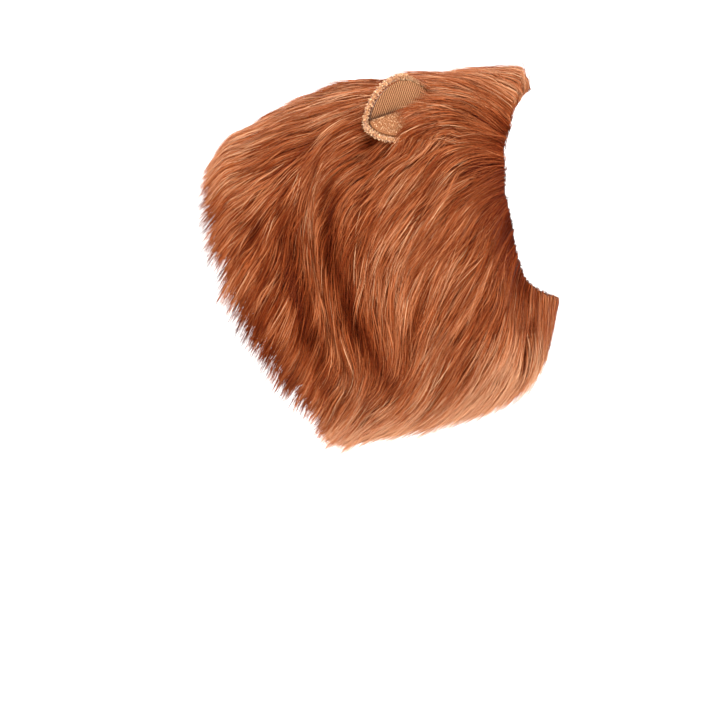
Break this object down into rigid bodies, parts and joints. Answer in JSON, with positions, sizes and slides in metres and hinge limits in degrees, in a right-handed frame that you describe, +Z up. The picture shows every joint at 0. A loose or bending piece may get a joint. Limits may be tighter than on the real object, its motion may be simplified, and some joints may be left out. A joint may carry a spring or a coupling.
{
  "type": "pet lion mane wig",
  "caption": "Pull-on lion mane hood for a large pet: knitted tube with combed-down long faux fur, an elastic face edge, a pointed shoulder hem and cupped plush ears.",
  "frame": {"origin": "the point inside the hood, under the crown and ahead of the ears, where the wearer's head carries it", "axes": "+X out of the face opening, +Y to the wearer's left, +Z up"},
  "size_m": [0.3578, 0.3014, 0.3886],
  "materials": {
    "backing_knit": "matt brown weft knit",
    "casing_elastic": "matt ribbed elastic",
    "mane_fur": "silky long rust-brown faux fur",
    "ear_plush": "matt looped plush",
    "ear_lining": "matt ribbed knit"
  },
  "bodies": {
    "root": {"backing_hood": "backing_knit", "face_elastic_casing": "casing_elastic", "mane_fur": "mane_fur", "ear_back_right": "ear_plush", "ear_lining_right": "ear_lining", "ear_rim_right": "ear_plush", "ear_back_left": "ear_plush", "ear_lining_left": "ear_lining", "ear_rim_left": "ear_plush"}
  },
  "joints": []
}
